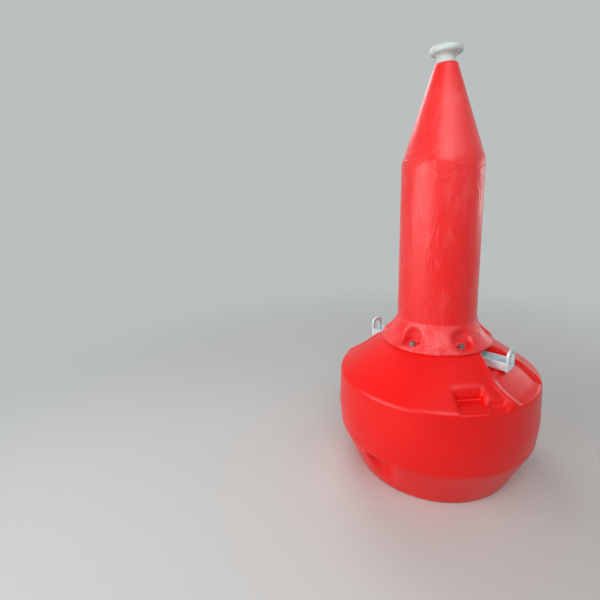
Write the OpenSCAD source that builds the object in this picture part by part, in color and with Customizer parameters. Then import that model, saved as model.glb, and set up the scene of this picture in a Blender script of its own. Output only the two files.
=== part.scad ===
// Navigation buoy: a moulded float that carries a tapered tower with a lamp base.
// A steel crossbar with two lifting eyes lies in a groove of the float's top, and a rod
// through the float ties it to the ballast disc and the mooring eye in the bottom recess.
// Millimetres. The origin is the centre of the float's flat bottom, +Z is up,
// +X runs along the crossbar to one lifting eye.

/* [Float] */
// Widest diameter of the float, at its parting line
float_d = 900; // [840:10:1000]
// Height of the parting line over the floor
parting_z = 300; // [260:5:340]
// Diameter of the flat bottom, out to the start of its rounded edge
base_d = 712; // [660:4:760]
// Height of the knuckle where the lower chamfer ends
knuckle_z = 200; // [180:5:230]
// How much smaller the float is in diameter at the knuckle than at the parting line
knuckle_draft = 14; // [6:1:20]
// Diameter of the rim, where the side meets the top cone
rim_d = 880; // [820:10:980]
// Height of the rim over the floor
rim_z = 470; // [450:5:490]
// Radius of the edge along the rim
rim_edge_r = 32; // [24:1:40]
// Radius of the rounded edge round the flat bottom
base_edge_r = 12; // [6:1:20]

/* [Tower seat] */
// Height of the flat seat that the tower is bolted to
seat_z = 618; // [600:2:640]
// Diameter of the seat
seat_d = 464; // [450:2:472]
// Height of the small step round the seat
seat_step = 4; // [3:1:8]

/* [Shackle lanes] */
// Width of a lane where it leaves the tower seat
lane_in_w = 92; // [84:2:110]
// Width of a lane at its widest
lane_w = 240; // [200:5:250]
// Width of a lane at the float's rim
lane_out_w = 204; // [160:4:230]
// Distance from the axis to where a lane reaches its full width
lane_open_x = 334; // [320:2:345]
// Distance from the axis to where a lane starts to narrow
lane_close_x = 390; // [370:2:400]
// Distance from the axis to where a lane's level floor bends down
lane_flat = 303; // [296:1:312]
// Distance from the axis to where a lane's floor turns less steep
lane_low_x = 396; // [390:1:404]
// Height of a lane's floor at that turn
lane_low_z = 480; // [474:1:484]
// Height of a lane's floor where it meets the float's side
lane_end_z = 466; // [460:1:469]

/* [Hand pockets] */
// Angle between the crossbar and the middle of each of the two hand pockets, in degrees
pocket_angle = 41; // [38:1:46]
// Distance from the axis to a pocket's back wall
pocket_wall = 355; // [345:1:365]
// Width of a pocket
pocket_w = 100; // [84:2:110]
// Height of a pocket's floor at its back wall
pocket_floor_z = 487; // [482:1:494]
// Distance from the axis to the back wall of the shallow part beside a pocket
side_wall = 395; // [385:1:405]
// Width of the shallow part
side_w = 72; // [50:2:80]
// Height of the shallow part's floor at its back wall
side_floor_z = 477; // [472:1:482]
// Height of the shallow part's floor at the float's side
side_low_z = 460; // [452:1:466]

/* [Base notches] */
// Number of notches in the lower chamfer
notch_count = 2; // [1:1:4]
// Distance from the axis to a notch's back wall
notch_wall = 385; // [380:1:400]
// Width of a notch at its back wall
notch_w = 84; // [60:4:110]
// Height of a notch's ceiling over the floor
notch_top_z = 186; // [160:2:195]
// Angle that a notch's side walls flare, in degrees
notch_flare = 40; // [20:5:45]

/* [Bottom recess] */
// Diameter of the recess in the flat bottom
recess_d = 360; // [350:5:420]
// Depth of the recess
recess_h = 122; // [118:2:140]

/* [Crossbar] */
// Outside width of the channel
bar_w = 72; // [60:2:90]
// Outside height of the channel's walls
bar_h = 40; // [34:1:50]
// Thickness of the channel's steel
bar_t = 6; // [4:1:8]
// Distance from the axis to the outer face of an end plate
bar_reach = 336; // [324:1:336]
// Height of the channel's underside below the tower seat
bar_drop = 71; // [68:1:76]
// Gap between the channel and the groove's side
bar_gap = 4; // [2:1:8]

/* [Lifting eyes] */
// Thickness of an end plate
eye_plate_t = 10; // [8:1:14]
// Height of an end plate
eye_plate_h = 92; // [88:1:100]
// Radius of an end plate's upper corners
eye_corner_r = 16; // [8:1:20]
// Width of the arched eye
eye_w = 38; // [30:1:44]
// Height of the arched eye
eye_h = 66; // [58:1:70]
// Height of the eye's lower edge over the plate's foot
eye_lift = 13; // [10:1:16]

/* [Mooring rod] */
// Diameter of the rod
rod_d = 30; // [24:1:32]
// Gap round the rod in the float and in the steel
rod_gap = 1; // [0.5:0.5:2]
// Outer radius of the mooring eye's ring
ring_r = 34; // [30:1:36]
// Radius of the hole in the mooring eye
ring_hole_r = 18; // [14:1:20]
// Thickness of the mooring eye
ring_t = 26; // [20:1:30]
// Clearance between the mooring eye and the floor
ring_lift = 8; // [5:1:12]
// Diameter of the collar over the mooring eye
collar_d = 64; // [56:2:80]
// Thickness of the collar
collar_t = 14; // [10:1:16]
// Width across the flats of the rod's nut
nut_af = 46; // [44:1:50]
// Height of the rod's nut
nut_h = 22; // [18:1:24]
// Outer diameter of the rod's washer
washer_d = 56; // [50:1:58]
// Thickness of the rod's washer
washer_t = 4; // [3:1:6]
// Length of thread that stands above the nut
thread_over = 6; // [2:1:8]

/* [Ballast] */
// Diameter of the ballast disc
ballast_d = 336; // [280:4:340]

/* [Tower] */
// Diameter of the tower's flange
flange_d = 484; // [480:2:500]
// Height of the flange's straight rim
rim_h = 12; // [8:1:18]
// Diameter of the tower at the foot, over the flare
foot_d = 342; // [320:2:352]
// Height over the seat at which the flare ends
flare_h = 108; // [100:2:130]
// Angle that the flare's hollow curve turns through, in degrees
flare_bend = 44; // [20:2:60]
// Diameter of the tower at its shoulder
tower_d = 326; // [300:2:340]
// Height of the shoulder over the floor
shoulder_z = 1382; // [1300:5:1450]
// Diameter of the cone's blunt top, out to its edge
tip_d = 88; // [84:2:100]
// Height of the cone's top face over the floor
tip_z = 1742; // [1700:2:1760]
// Radius of the edge round the cone's top
tip_edge_r = 8; // [4:1:8]

/* [Tower bolts] */
// Number of bolts in the flange
bolt_count = 6; // [6:2:6]
// Diameter of the bolt circle
bolt_circle_d = 390; // [384:2:396]
// Diameter of a bolt pocket in the flare
bolt_pocket_d = 72; // [60:2:74]
// Height of a bolt pocket's upright wall, under its domed top
bolt_pocket_h = 34; // [26:2:40]
// Thickness of the flange under a bolt head
flange_t = 16; // [12:1:20]
// Nominal diameter of a bolt
bolt_d = 16; // [14:1:18]
// Depth of a bolt's thread in the float
bolt_depth = 50; // [40:2:60]
// Gap round a bolt in the flange
bolt_gap = 1; // [0.5:0.5:2]

/* [Lamp base] */
// Diameter of the lamp base's disc
disc_d = 124; // [116:2:140]
// Thickness of the disc
disc_t = 27; // [22:1:30]
// Diameter of the neck under the disc
neck_d = 70; // [64:1:72]
// Height from the cone's top to the top of the lamp base
lamp_base_h = 58; // [52:1:70]
// Radius of the fillet between neck and disc
neck_fillet_r = 14; // [8:1:16]
// Diameter of the spigot that sits in the cone's top
spigot_d = 52; // [44:1:56]
// Length of the spigot
spigot_h = 36; // [24:1:48]
// Gap round and under the spigot
spigot_gap = 0.5; // [0.3:0.1:1]
// Number of lamp screws
lamp_holes = 3; // [3:1:4]
// Diameter of the lamp screws' circle
lamp_circle_d = 90; // [80:1:96]
// Core diameter of a lamp screw's thread
lamp_hole_d = 6.8; // [5:0.1:9]
// Depth of a lamp screw's hole
lamp_hole_h = 15; // [10:1:16]

/* [Hidden] */
$fn = 96;
safe_red = [0.86, 0.09, 0.07];
zinc = [0.72, 0.76, 0.78];
iron = [0.33, 0.34, 0.35];
lamp_white = [0.92, 0.93, 0.95];
over = 1;                                     // how far a cut runs past a face
thread_gap = 0.1;                             // gap between a thread's plain stand-in and its bore
head_h_ratio = 0.64;                          // bolt head height, as a share of the bolt's diameter
head_af_ratio = 1.5;                          // width across the head's flats
washer_t_ratio = 0.2;                         // thickness of the bolt's washer
washer_d_ratio = 1.9;                         // diameter of the bolt's washer
disc_edge_ratio = 0.4;                        // radius of the lamp disc's edges, as a share of its thickness

float_r = float_d / 2;
rim_r = rim_d / 2;
knuckle_r = (float_d - knuckle_draft) / 2;
cone_start_r = seat_d / 2 + seat_step;
cone_start_z = seat_z - seat_step;
side_lean = atan2(float_r - rim_r, rim_z - parting_z);
cone_slope = atan2(cone_start_z - rim_z, rim_r - cone_start_r);

bar_z = seat_z - bar_drop;
bar_len = 2 * (bar_reach - eye_plate_t);
bar_top_web = bar_z + bar_t;
washer_z = bar_top_web;
nut_z = washer_z + washer_t;
rod_top_z = nut_z + nut_h + thread_over;
ring_z = ring_lift + ring_r;
collar_z = ring_z + ring_r;
ballast_z = collar_z + collar_t;
ballast_h = recess_h - ballast_z;

flange_top_z = seat_z + rim_h;
flare_z = seat_z + flare_h;
bolt_floor_z = seat_z + flange_t;
bolt_r = bolt_circle_d / 2;
bolt_head_h = head_h_ratio * bolt_d;
bolt_af = head_af_ratio * bolt_d;
bolt_washer_t = washer_t_ratio * bolt_d;
bolt_washer_d = washer_d_ratio * bolt_d;
lamp_top_z = tip_z + lamp_base_h;

// Points along an arc about (cx, cz) from angle a to angle b, in degrees.
function arc(cx, cz, r, a, b, n) =
    [for (i = [0:n]) let (t = a + (b - a) * i / n) [cx + r * cos(t), cz + r * sin(t)]];

// Arc of radius r that rounds a corner between two sides whose outward normals are at a and b.
function round_corner(corner, r, a, b, n) =
    let (na = [cos(a), sin(a)], nb = [cos(b), sin(b)], c = corner - r * (na + nb) / (1 + na * nb))
    arc(c[0], c[1], r, a, b, n);

// Half profile of the float, from the axis at the bottom round to the axis at the seat.
module float_profile() {
    chamfer = atan2(knuckle_z, knuckle_r - base_d / 2);
    polygon(concat(
        [[0, 0]],
        round_corner([base_d / 2, 0], base_edge_r, -90, chamfer - 90, 6),
        [[knuckle_r, knuckle_z], [float_r, parting_z]],
        round_corner([rim_r, rim_z], rim_edge_r, side_lean, 90 - cone_slope, 6),
        [[cone_start_r, cone_start_z], [seat_d / 2, seat_z], [0, seat_z]]));
}

// One lane: its outline from above, cut down to a floor that is level, falls and eases off.
module lane_cut() {
    far = float_r + over;
    half_in = lane_in_w / 2;
    half = lane_w / 2;
    half_out = lane_out_w / 2;
    intersection() {
        linear_extrude(seat_z + over)
            polygon([[0, -half_in], [seat_d / 2, -half_in], [lane_open_x, -half],
                     [lane_close_x, -half], [far, -half_out], [far, half_out],
                     [lane_close_x, half], [lane_open_x, half], [seat_d / 2, half_in], [0, half_in]]);
        rotate([90, 0, 0])
            translate([0, 0, -half - over])
                linear_extrude(2 * (half + over))
                    polygon([[-over, bar_z], [lane_flat, bar_z], [lane_low_x, lane_low_z],
                             [rim_r, lane_end_z], [far, lane_end_z],
                             [far, seat_z + 2 * over], [-over, seat_z + 2 * over]]);
    }
}

// Box of a width across y, from a back wall outwards, over a floor that falls to the float's side.
module pocket_box(wall, from, width, wall_z, side_z) {
    far = float_r + over;
    drop = (wall_z - side_z) * (far - wall) / (rim_r - wall);
    translate([0, from, 0])
        rotate([90, 0, 0])
            translate([0, 0, -width])
                linear_extrude(width)
                    polygon([[wall, wall_z], [far, wall_z - drop], [far, seat_z], [wall, seat_z]]);
}

// Hand pocket with the shallow part on the side of the nearer lifting eye.
module hand_pocket_cut() {
    pocket_box(pocket_wall, -pocket_w / 2, pocket_w, pocket_floor_z, rim_z);
    pocket_box(side_wall, pocket_w / 2 - over, side_w + over, side_floor_z, side_low_z);
}

// Plan view of a notch, wider towards the outside, cut up to its ceiling.
module notch_cut() {
    far = float_r + over;
    half = notch_w / 2;
    wide = half + (far - notch_wall) * tan(notch_flare);
    translate([0, 0, -over])
        linear_extrude(notch_top_z + over)
            polygon([[notch_wall, -half], [far, -wide], [far, wide], [notch_wall, half]]);
}

module float() {
    color(safe_red)
    difference() {
        rotate_extrude() float_profile();
        // groove for the channel, right across the seat
        translate([-lane_flat, -bar_w / 2 - bar_gap, bar_z])
            cube([2 * lane_flat, bar_w + 2 * bar_gap, seat_z - bar_z + over]);
        // lanes round the two lifting eyes, outside the seat
        for (side = [0, 180])
            rotate([0, 0, side])
                difference() {
                    lane_cut();
                    cylinder(r = seat_d / 2, h = seat_z + 2 * over);
                }
        for (side = [0, 180])
            rotate([0, 0, side - pocket_angle]) hand_pocket_cut();
        for (i = [0:notch_count - 1])
            rotate([0, 0, (i + 0.5) * 360 / notch_count]) notch_cut();
        // recess in the bottom and the rod's way through
        translate([0, 0, -over]) cylinder(d = recess_d, h = recess_h + over);
        cylinder(d = rod_d + 2 * rod_gap, h = seat_z);
        bolt_places() translate([0, 0, seat_z - bolt_depth])
            cylinder(d = bolt_d, h = bolt_depth + over, $fn = 48);
    }
}

// Channel, open upwards, with the rod's hole in its web.
module crossbar() {
    color(zinc)
    difference() {
        translate([-bar_len / 2, -bar_w / 2, bar_z]) cube([bar_len, bar_w, bar_h]);
        translate([-bar_len / 2 - over, -bar_w / 2 + bar_t, bar_z + bar_t])
            cube([bar_len + 2 * over, bar_w - 2 * bar_t, bar_h]);
        translate([0, 0, bar_z - over]) cylinder(d = rod_d + 2 * rod_gap, h = bar_t + 2 * over);
    }
}

// Outline of one end plate with its arched eye.
module eye_plate_outline() {
    r = eye_corner_r;
    difference() {
        union() {
            translate([-bar_w / 2, 0]) square([bar_w, eye_plate_h - r]);
            translate([-bar_w / 2 + r, 0]) square([bar_w - 2 * r, eye_plate_h]);
            for (s = [-1, 1])
                translate([s * (bar_w / 2 - r), eye_plate_h - r]) circle(r);
        }
        translate([0, eye_lift + eye_h - eye_w / 2]) circle(d = eye_w);
        translate([-eye_w / 2, eye_lift]) square([eye_w, eye_h - eye_w / 2]);
    }
}

module lifting_eyes() {
    color(zinc)
    for (s = [-1, 1])
        translate([s * (bar_reach - eye_plate_t / 2) - eye_plate_t / 2, 0, bar_z])
            rotate([90, 0, 90])
                linear_extrude(eye_plate_t) eye_plate_outline();
}

// Rod with a collar and a flat ring at its lower end.
module mooring_rod() {
    color(zinc) {
        difference() {
            union() {
                translate([0, ring_t / 2, ring_z])
                    rotate([90, 0, 0]) cylinder(r = ring_r, h = ring_t);
                translate([-rod_d / 2, -ring_t / 2, ring_z])
                    cube([rod_d, ring_t, collar_z - ring_z]);
                translate([0, 0, collar_z]) cylinder(d = collar_d, h = collar_t);
                translate([0, 0, collar_z]) cylinder(d = rod_d, h = rod_top_z - collar_z);
            }
            translate([0, ring_t / 2 + over, ring_z])
                rotate([90, 0, 0]) cylinder(r = ring_hole_r, h = ring_t + 2 * over);
        }
    }
}

module rod_washer() {
    color(zinc)
    translate([0, 0, washer_z])
        difference() {
            cylinder(d = washer_d, h = washer_t);
            translate([0, 0, -over]) cylinder(d = rod_d + rod_gap, h = washer_t + 2 * over);
        }
}

module rod_nut() {
    color(zinc)
    translate([0, 0, nut_z])
        difference() {
            cylinder(d = nut_af / cos(30), h = nut_h, $fn = 6);
            translate([0, 0, -over]) cylinder(d = rod_d + thread_gap, h = nut_h + 2 * over);
        }
}

module ballast_disc() {
    color(iron)
    translate([0, 0, ballast_z])
        difference() {
            cylinder(d = ballast_d, h = ballast_h);
            translate([0, 0, -over]) cylinder(d = rod_d + 2 * rod_gap, h = ballast_h + 2 * over);
        }
}

module bolt_places() {
    for (i = [0:bolt_count - 1])
        rotate([0, 0, (i + 0.5) * 360 / bolt_count])
            translate([bolt_r, 0, 0]) children();
}

// Half profile of the tower: flange, bell-shaped flare, drum and cone.
module tower_profile() {
    rise = flare_z - flange_top_z;
    run = (flange_d - foot_d) / 2;
    chord = norm([run, rise]);
    bell_r = chord / (2 * sin(flare_bend / 2));
    back = bell_r * cos(flare_bend / 2) / chord;
    bell_x = (flange_d + foot_d) / 4 + back * rise;
    bell_z = (flange_top_z + flare_z) / 2 + back * run;
    middle = 180 + atan2(run, rise);
    polygon(concat(
        [[0, seat_z], [flange_d / 2, seat_z]],
        arc(bell_x, bell_z, bell_r, middle + flare_bend / 2, middle - flare_bend / 2, 12),
        [[tower_d / 2, shoulder_z], [tip_d / 2, tip_z - tip_edge_r]],
        arc(tip_d / 2 - tip_edge_r, tip_z - tip_edge_r, tip_edge_r, 0, 90, 5),
        [[0, tip_z]]));
}

// Round well with a domed top, over one bolt.
module bolt_pocket_cut() {
    r = bolt_pocket_d / 2;
    translate([0, 0, bolt_floor_z])
        rotate_extrude()
            polygon(concat([[0, 0], [r, 0]], arc(0, bolt_pocket_h, r, 0, 90, 8)));
}

module tower() {
    color(safe_red)
    difference() {
        rotate_extrude() tower_profile();
        bolt_places() {
            bolt_pocket_cut();
            translate([0, 0, seat_z - over])
                cylinder(d = bolt_d + 2 * bolt_gap, h = flange_t + 2 * over, $fn = 48);
        }
        translate([0, 0, tip_z - spigot_h - spigot_gap])
            cylinder(d = spigot_d + 2 * spigot_gap, h = spigot_h + spigot_gap + over);
    }
}

module tower_bolts() {
    color(zinc)
    bolt_places() {
        translate([0, 0, seat_z - bolt_depth + over])
            cylinder(d = bolt_d - 2 * thread_gap, h = bolt_depth - over + flange_t + bolt_washer_t, $fn = 48);
        translate([0, 0, bolt_floor_z]) cylinder(d = bolt_washer_d, h = bolt_washer_t, $fn = 48);
        translate([0, 0, bolt_floor_z + bolt_washer_t])
            cylinder(d = bolt_af / cos(30), h = bolt_head_h, $fn = 6);
    }
}

// Half profile of the lamp base: spigot, neck, fillet and rounded disc.
module lamp_base_profile() {
    under = lamp_top_z - disc_t;
    edge = disc_edge_ratio * disc_t;
    polygon(concat(
        [[0, tip_z - spigot_h], [spigot_d / 2, tip_z - spigot_h], [spigot_d / 2, tip_z],
         [neck_d / 2, tip_z]],
        arc(neck_d / 2 + neck_fillet_r, under - neck_fillet_r, neck_fillet_r, 180, 90, 6),
        arc(disc_d / 2 - edge, under + edge, edge, -90, 0, 4),
        arc(disc_d / 2 - edge, lamp_top_z - edge, edge, 0, 90, 4),
        [[0, lamp_top_z]]));
}

module lamp_base() {
    color(lamp_white)
    difference() {
        rotate_extrude() lamp_base_profile();
        for (i = [0:lamp_holes - 1])
            rotate([0, 0, i * 360 / lamp_holes])
                translate([lamp_circle_d / 2, 0, lamp_top_z - lamp_hole_h])
                    cylinder(d = lamp_hole_d, h = lamp_hole_h + over, $fn = 32);
    }
}

float();
crossbar();
lifting_eyes();
mooring_rod();
rod_washer();
rod_nut();
ballast_disc();
tower();
tower_bolts();
lamp_base();
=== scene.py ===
"""Navigation buoy: moulded float and tower, galvanised crossbar with lifting eyes, lamp base.

Every moulded piece starts as a turned profile. Recesses are carved from it by moving points
in along their normals until they leave a signed distance field, with soft edges as a mould
leaves them. Lengths are in millimetres until a mesh is written. The stage is in metres.
"""
import math

import bpy
import numpy as np
from mathutils import Matrix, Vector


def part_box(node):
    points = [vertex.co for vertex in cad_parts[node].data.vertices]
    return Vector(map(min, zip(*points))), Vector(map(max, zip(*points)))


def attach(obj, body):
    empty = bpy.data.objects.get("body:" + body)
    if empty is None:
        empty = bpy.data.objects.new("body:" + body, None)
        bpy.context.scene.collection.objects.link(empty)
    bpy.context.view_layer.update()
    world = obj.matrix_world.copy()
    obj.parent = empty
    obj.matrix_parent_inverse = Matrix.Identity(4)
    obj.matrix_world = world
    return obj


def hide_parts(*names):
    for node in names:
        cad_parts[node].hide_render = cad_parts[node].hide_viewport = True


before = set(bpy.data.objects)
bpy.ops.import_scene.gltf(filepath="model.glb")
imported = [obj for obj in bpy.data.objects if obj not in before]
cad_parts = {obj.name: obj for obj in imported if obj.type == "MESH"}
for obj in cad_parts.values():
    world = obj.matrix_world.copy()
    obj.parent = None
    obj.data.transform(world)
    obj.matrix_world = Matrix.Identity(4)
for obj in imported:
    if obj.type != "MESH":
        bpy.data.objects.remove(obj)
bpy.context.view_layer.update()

MM = 0.001
TURN = 2 * math.pi


def low_high(node):
    """Lowest and highest corner of a CAD node, in millimetres."""
    low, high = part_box(node)
    return np.array(low) / MM, np.array(high) / MM


float_high = low_high("float")[1]
tower_high = low_high("tower")[1]
lamp_high = low_high("lamp_base")[1]
rod_high = low_high("mooring_rod")[1]
bar_low, bar_high = low_high("crossbar")
eye_low, eye_high = low_high("lifting_eyes")
ballast_low, ballast_high = low_high("ballast_disc")

# A BEND is the radius of a rounded corner, and a CREASE or EDGE the width over which a field
# is rounded where two of its faces meet, or where it meets the turned surface.

# Float, outside
WIDEST_R = float_high[0]
PARTING_Z = 300
BASE_R = 356
KNUCKLE_Z = 200
KNUCKLE_R = WIDEST_R - 7
SHOULDER_R = WIDEST_R - 10
SHOULDER_Z = 470
SEAT_Z = float_high[2]
SEAT_R = 232
SEAT_STEP = 4
RECESS_R = 180
RECESS_TOP_Z = ballast_high[2]
BORE_R = 16
RECESS_TOP_BEND = 10
RECESS_BEND = 9
BASE_BEND = 14
KNUCKLE_BEND = 55
SIDE_BEND = 300
SHOULDER_BEND = 33
SEAT_FOOT_BEND = 6
SEAT_BEND = 2
# Lanes round the lifting eyes, and the groove for the channel
LANE_IN = (SEAT_R, 46)
LANE_OPEN = (334, 120)
LANE_CLOSE = (390, 120)
LANE_OUT = (451, 102)
LANE_OPEN_CREASE = 8
LANE_CLOSE_CREASE = 10
LANE_MOUTH_CREASE = 4
LANE_FLAT = 303
LANE_LOW = (396, 480)
LANE_END = (440, 466)
LANE_LOW_CREASE = 6
LANE_FLAT_CREASE = 8
LANE_FLOOR_CREASE = 14
LANE_DRAFT = math.radians(30)
LANE_DRAFT_RUN = 40
LANE_DEEPEST = 60
CONE = ((SHOULDER_R, SHOULDER_Z), (SEAT_R + SEAT_STEP, SEAT_Z - SEAT_STEP))
GROOVE_HALF = bar_high[1] + 4
BAR_Z = bar_low[2]
LIP_H = 7
LIP_AT = 12
LIP_W = 12
LIP_START_R = SEAT_R + 12
LIP_START_RUN = 30
LIP_END_RUN = 22
# Hand pockets
POCKET_ANGLE = math.radians(41)
POCKET_WALL = 355
POCKET_HALF = 50
POCKET_RIDGE = 14
POCKET_FLOOR = (485, 476)
POCKET_FLOOR_CREASE = 7
POCKET_SIDE_CREASE = 9
STEP_WALL = 395
STEP_EDGE_R = STEP_WALL + 7
STEP_W = 72
STEP_END = POCKET_HALF + STEP_W
STEP_FLOOR = (477, 464)
STEP_CREASE = 8
# Base notches
NOTCH_WALL = 385
NOTCH_HALF = 42
NOTCH_TOP_Z = 186
NOTCH_FLARE = math.radians(40)
NOTCH_TOP_CREASE = 14
NOTCH_SIDE_CREASE = 20
# Softness of the recesses' edges on the float
EDGE_SMALL = 11
EDGE_WIDE = 26
WIDE_FROM_R = SEAT_R + 15
WIDE_RUN_R = 60
WIDE_FROM_Z = SHOULDER_Z - 5
WIDE_RUN_Z = 25
# Tower
RIM_R = tower_high[0]
FLANGE_Z = SEAT_Z + 12
FOOT_R = 171
FLARE_Z = SEAT_Z + 108
FLARE_BEND = math.radians(32)
DRUM_TOP_Z = 1382
DRUM_TOP_R = 163
TIP_R = 44
TIP_Z = 1742
TIP_EDGE_W = 3
TIP_EDGE_H = 6
FLANGE_FOOT_BEND = 4
FLANGE_TOP_BEND = 5
FOOT_BEND = 9
DRUM_TOP_BEND = 30
TIP_BEND = 8
BOLT_COUNT = 6
BOLT_CIRCLE_R = 195
BOLT_D = 16
BOLT_FLOOR_Z = SEAT_Z + 16
BOLT_POCKET_R = 36
BOLT_POCKET_WALL_Z = BOLT_FLOOR_Z + 34
BOLT_FLOOR_CREASE = 8
BOLT_POCKET_EDGE = 20
# Crossbar and eyes
BAR_T = 6
BAR_HALF_LEN = bar_high[0]
BAR_BEND = 10
BAR_INNER_BEND = 5
BAR_LIP_BEND = 1.5
PLATE_T = eye_high[0] - BAR_HALF_LEN
PLATE_FOOT_BEND = 3
PLATE_CORNER_BEND = 24
PLATE_EASE = 1.6
EYE_HALF = 19
EYE_LIFT = 13
EYE_H = 66
EYE_FOOT_BEND = 4
WELD_R = 3.2
WELD_RIPPLE = 0.45
WELD_RIPPLE_PITCH = 5.2
WELD_SWAY = 0.25
WELD_SWAY_RATE = 0.31
WELD_FLATNESS = 0.55
WELD_REACH = 0.8
# Lamp base
NECK_R = 35
NECK_FOOT_BEND = 1.5
NECK_FILLET = 14
DISC_R = lamp_high[0]
DISC_TOP_Z = lamp_high[2]
DISC_T = 27
DISC_BEND = 11
LAMP_HOLE_COUNT = 3
LAMP_HOLE_R = 3.4
LAMP_HOLE_H = 15
LAMP_HOLE_EDGE = 0.8
LAMP_CIRCLE_R = 45
# Mooring rod and ballast
RING_HOLE_R = 18
RING_R = 34
RING_T = 26
RING_Z = 42
RING_HOLE_BEND = 5
RING_BEND = 7
ROD_R = 15
SHANK_Z = 68
SHANK_FOOT_R = ROD_R + 1
COLLAR_R = 32
COLLAR_LOW = 76
COLLAR_HIGH = 90
SHANK_BEND = 4
COLLAR_LOW_BEND = 3
COLLAR_HIGH_BEND = 0.5
ROD_END_BEND = 2
BALLAST_BORE_BEND = 3
BALLAST_LOW_BEND = 6
BALLAST_HIGH_BEND = 4


# Geometry


def full_turn(count):
    """Angles of count columns at equal steps round the axis."""
    return np.linspace(0, TURN, count + 1)[:-1]


def rising(value, start, run):
    """0 before start, 1 from start + run on, and a straight rise between. A run below 0 falls."""
    return np.clip((value - start) / run, 0, 1)


def spaced(low, high, spacing, fine=6000):
    """Stations from low to high, as far apart at each place as spacing(place) says."""
    place = np.linspace(low, high, fine)
    middle = (place[1:] + place[:-1]) / 2
    crowd = np.concatenate([[0], np.cumsum(np.diff(place) / spacing(middle))])
    count = int(np.ceil(crowd[-1])) + 1
    return np.interp(np.linspace(0, crowd[-1], count), crowd, place)


def row_gap(usual, *stretches):
    """A spacing(r, z) of usual, but of its own in each stretch (r range, z range, gap)."""
    def spacing(r, z):
        gap = np.full_like(r, usual)
        for (r_low, r_high), (z_low, z_high), own in stretches:
            gap[(r > r_low) & (r < r_high) & (z > z_low) & (z < z_high)] = own
        return gap
    return spacing


def rounded(corners, steps=8):
    """Polyline through corners (r, z, radius), each radius an arc tangent to both its sides."""
    spots = np.array([corner[:2] for corner in corners], float)
    radii = [corner[2] for corner in corners]
    straight = math.radians(89.9)
    line = [spots[:1]]
    for before, spot, after, radius in zip(spots, spots[1:], spots[2:], radii[1:]):
        back = (before - spot) / np.linalg.norm(before - spot)
        ahead = (after - spot) / np.linalg.norm(after - spot)
        half = math.acos(np.clip(back @ ahead, -1, 1)) / 2
        if radius == 0 or half > straight:
            line.append(spot[None])
            continue
        middle = (back + ahead) / np.linalg.norm(back + ahead)
        centre = spot + middle * radius / math.sin(half)
        start = spot + back * radius / math.tan(half) - centre
        end = spot + ahead * radius / math.tan(half) - centre
        part = np.linspace(0, 1, steps + 1)[:, None]
        whole = math.pi - 2 * half
        arc = start * np.sin((1 - part) * whole) + end * np.sin(part * whole)
        line.append(centre + arc / math.sin(whole))
    line.append(spots[-1:])
    return np.concatenate(line)


def lengths(line):
    """How far along a polyline each of its points is."""
    return np.concatenate([[0], np.cumsum(np.linalg.norm(np.diff(line, axis=0), axis=1))])


def read_off(at, places, line):
    """Points between those of a line, whose points lie at the given places."""
    return np.stack([np.interp(at, places, line[:, k]) for k in (0, 1)], axis=1)


def stations(line, spacing, step=0.5, tiny=1e-6):
    """Points along a polyline, as far apart as spacing(r, z) says, and normals to its right.

    A normal is the way from a step behind a point to a step ahead of it, turned right.
    """
    length = lengths(line)
    keep = np.concatenate([[True], np.diff(length) > tiny])
    length, line = length[keep], line[keep]
    at = spaced(0, length[-1], lambda place: spacing(*read_off(place, length, line).T))
    along = read_off(at + step, length, line) - read_off(at - step, length, line)
    along /= np.linalg.norm(along, axis=1)[:, None]
    return read_off(at, length, line), np.stack([along[:, 1], -along[:, 0]], axis=1)


def turned(profile, angles):
    """Points of a profile (r, z) turned to each angle, as rings, shape (stations, angles, 3).

    The angles are one row for all stations, or a row for each.
    """
    r, z = profile[:, :1], profile[:, 1:]
    return np.stack([r * np.cos(angles), r * np.sin(angles), z + 0 * angles], axis=-1)


def smooth_max(a, b, width):
    """Larger of two fields, with the crease between them rounded over width."""
    share = np.clip(0.5 + 0.5 * (a - b) / width, 0, 1)
    return b + (a - b) * share + width * share * (1 - share)


def smooth_min(a, b, width):
    """Smaller of two fields, with the crease between them rounded over width."""
    return -smooth_max(-a, -b, width)


def carve(base, normal, cut, edge, rounds=70, pace=0.75, near=0.01):
    """Base points moved in along their normals until they leave the cut.

    cut(points) is a signed distance, negative in what is cut away. The depth t solves
    smooth_max(-t, -cut(base - t * normal), edge) = 0, by stepping t with that field at a pace
    below 1 until it is near 0. The edge's softness is one length, or one for each point.
    """
    flat, out = base.reshape(-1, 3), normal.reshape(-1, 3)
    edge = np.broadcast_to(edge, base.shape[:-1]).reshape(-1)
    depth = np.zeros(len(flat))
    live = np.arange(len(flat))
    for _ in range(rounds):
        left = -cut(flat[live] - depth[live, None] * out[live])
        gap = smooth_max(-depth[live], left, edge[live])
        depth[live] += pace * gap
        live = live[np.abs(gap) > near]
        if not len(live):
            break
    return (flat - np.maximum(depth, 0)[:, None] * out).reshape(base.shape)


def eased(rings, share, rounds=3, pace=0.5):
    """Rings with each point moved a share of the way to its four neighbours' mean, a few times.

    The share is one for each ring, and 0 leaves a ring as it is.
    """
    share = share[:, None, None] * pace
    for _ in range(rounds):
        above, below = np.roll(rings, 1, axis=0), np.roll(rings, -1, axis=0)
        beside = np.roll(rings, 1, axis=1) + np.roll(rings, -1, axis=1)
        rings = rings + share * ((above + below + beside) / 4 - rings)
    return rings


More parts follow.
